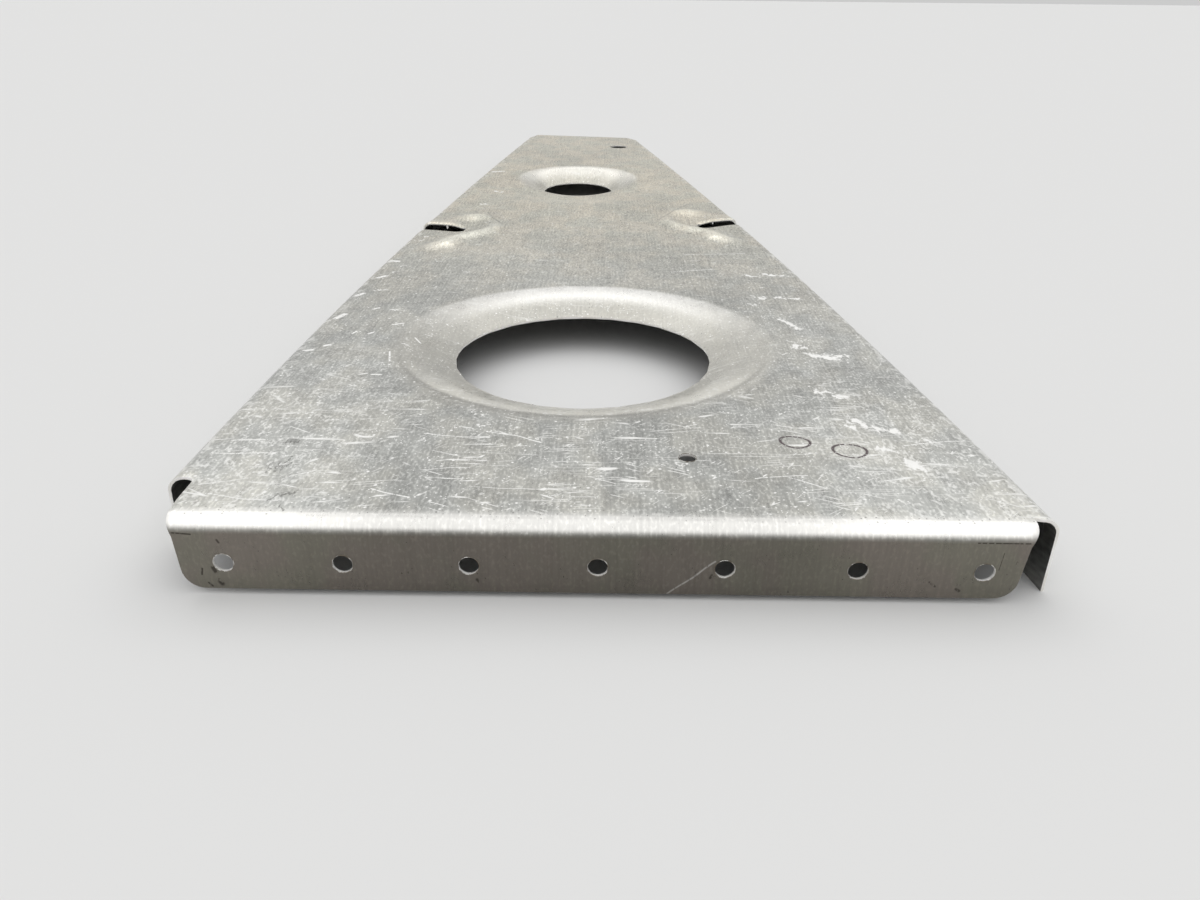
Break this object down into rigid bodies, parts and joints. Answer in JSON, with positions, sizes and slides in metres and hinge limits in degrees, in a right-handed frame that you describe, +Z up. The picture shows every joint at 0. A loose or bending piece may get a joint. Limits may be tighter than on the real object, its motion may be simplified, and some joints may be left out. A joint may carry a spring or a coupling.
{
  "type": "wing rib",
  "caption": "Tapered aircraft wing rib folded from one aluminium sheet, with flanges on every side, dimpled lightening holes and stringer notches with pressed rims.",
  "frame": {"origin": "middle of the bounding box at its base, where the side flanges' lower edges rest", "axes": "+Y runs aft from the wide front flange to the narrow end, +Z points up from the flanges to the web, and +X points right when looking aft"},
  "size_m": [0.1845, 0.5482, 0.0189],
  "materials": {
    "sheet": "bare rolled sheet, worn and finely scratched"
  },
  "bodies": {
    "root": {"wing_rib": "sheet"}
  },
  "joints": []
}
